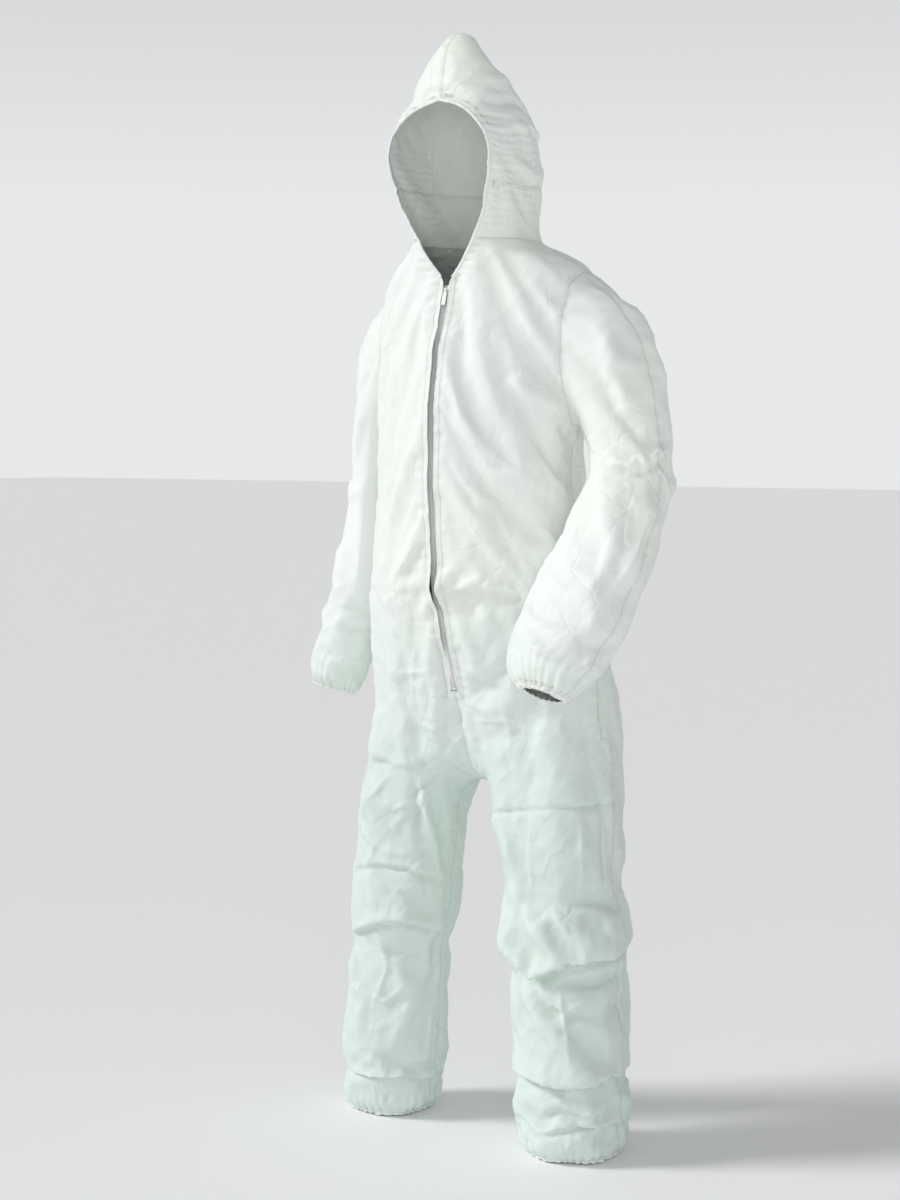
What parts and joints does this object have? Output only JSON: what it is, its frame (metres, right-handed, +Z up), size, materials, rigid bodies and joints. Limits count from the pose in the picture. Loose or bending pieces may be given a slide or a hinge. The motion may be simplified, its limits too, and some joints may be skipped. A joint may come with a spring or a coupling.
{
  "type": "hooded protective coverall",
  "caption": "One-piece hooded coverall of thin nonwoven sheet with a front coil zip and elastic at the face, waist, wrists and ankles, shaped as worn with arms and legs that bend.",
  "frame": {"origin": "middle of the neck base, level with the top of the wearer's shoulders, where the suit hangs", "axes": "+Z up, the wearer faces -Y, the wearer's left is +X"},
  "size_m": [0.7029, 0.3696, 1.789],
  "materials": {
    "fabric": "white nonwoven sheet with a faint mint tint, matt with a slight sheen, creased from packing",
    "elastic": "fabric gathered over a sewn-in elastic",
    "zip_tape": "woven polyester tape",
    "zip_nylon": "off-white moulded nylon"
  },
  "bodies": {
    "torso": {"front_left_panel": "fabric", "front_right_panel": "fabric", "back_left_panel": "fabric", "back_right_panel": "fabric", "waist_elastic": "elastic", "collar": "fabric", "left_armhole_section": "fabric", "right_armhole_section": "fabric", "left_hip_section": "fabric", "right_hip_section": "fabric", "zip_tape_left": "zip_tape", "zip_tape_right": "zip_tape", "zip_coil_left": "zip_nylon", "zip_coil_right": "zip_nylon", "zip_top_stop_left": "zip_nylon", "zip_top_stop_right": "zip_nylon", "zip_bottom_stop": "zip_nylon"},
    "hood": {"hood_left_panel": "fabric", "hood_right_panel": "fabric", "face_elastic": "elastic"},
    "left_upper_sleeve": {"left_upper_sleeve_front": "fabric", "left_upper_sleeve_back": "fabric", "left_elbow_section": "fabric"},
    "left_forearm": {"left_forearm_front": "fabric", "left_forearm_back": "fabric", "left_wrist_elastic": "elastic"},
    "left_thigh": {"left_thigh_front": "fabric", "left_thigh_back": "fabric", "left_knee_section": "fabric"},
    "left_shin": {"left_shin_front": "fabric", "left_shin_back": "fabric", "left_ankle_elastic": "elastic"},
    "right_upper_sleeve": {"right_upper_sleeve_front": "fabric", "right_upper_sleeve_back": "fabric", "right_elbow_section": "fabric"},
    "right_forearm": {"right_forearm_front": "fabric", "right_forearm_back": "fabric", "right_wrist_elastic": "elastic"},
    "right_thigh": {"right_thigh_front": "fabric", "right_thigh_back": "fabric", "right_knee_section": "fabric"},
    "right_shin": {"right_shin_front": "fabric", "right_shin_back": "fabric", "right_ankle_elastic": "elastic"},
    "slider": {"zip_slider": "zip_nylon"},
    "pull": {"zip_pull": "zip_nylon"}
  },
  "joints": [
    {"name": "hood_tilt", "type": "hinge", "parent": "torso", "child": "hood", "pos_m": [0, -0.01, 0.03], "axis": [-1, 0, 0], "range_deg": [-10, 45], "deforming": ["collar"]},
    {"name": "left_shoulder", "type": "hinge", "parent": "torso", "child": "left_upper_sleeve", "pos_m": [0.25, -0.01, -0.285], "axis": [-1, 0, 0], "range_deg": [0, 75], "deforming": ["left_armhole_section"]},
    {"name": "right_shoulder", "type": "hinge", "parent": "torso", "child": "right_upper_sleeve", "pos_m": [-0.222, 0.03, -0.285], "axis": [-0.99, 0.141, 0], "range_deg": [-12, 75], "deforming": ["right_armhole_section"]},
    {"name": "left_elbow", "type": "hinge", "parent": "left_upper_sleeve", "child": "left_forearm", "pos_m": [0.275, -0.042, -0.43], "axis": [-1, 0, 0], "range_deg": [0, 70], "deforming": ["left_elbow_section"]},
    {"name": "right_elbow", "type": "hinge", "parent": "right_upper_sleeve", "child": "right_forearm", "pos_m": [-0.244, 0.038, -0.43], "axis": [-1, 0, 0], "range_deg": [0, 85], "deforming": ["right_elbow_section"]},
    {"name": "left_hip", "type": "hinge", "parent": "torso", "child": "left_thigh", "pos_m": [0.13, 0.006, -0.895], "axis": [-1, 0, 0], "range_deg": [-12, 60], "deforming": ["left_hip_section"]},
    {"name": "right_hip", "type": "hinge", "parent": "torso", "child": "right_thigh", "pos_m": [-0.142, 0.01, -0.895], "axis": [-1, 0, 0], "range_deg": [-12, 60], "deforming": ["right_hip_section"]},
    {"name": "left_knee", "type": "hinge", "parent": "left_thigh", "child": "left_shin", "pos_m": [0.158, 0.02, -1.13], "axis": [1, 0, 0], "range_deg": [0, 70], "deforming": ["left_knee_section"]},
    {"name": "right_knee", "type": "hinge", "parent": "right_thigh", "child": "right_shin", "pos_m": [-0.172, 0.028, -1.13], "axis": [1, 0, 0], "range_deg": [0, 70], "deforming": ["right_knee_section"]},
    {"name": "zip_travel", "type": "hinge", "parent": "torso", "child": "slider", "pos_m": [0, 0.832, -0.37], "axis": [1, 0, 0], "range_deg": [0, 36]},
    {"name": "pull_swing", "type": "hinge", "parent": "slider", "child": "pull", "pos_m": [0, -0.12915, -0.08189], "axis": [-1, 0, 0], "range_deg": [0, 165]}
  ]
}
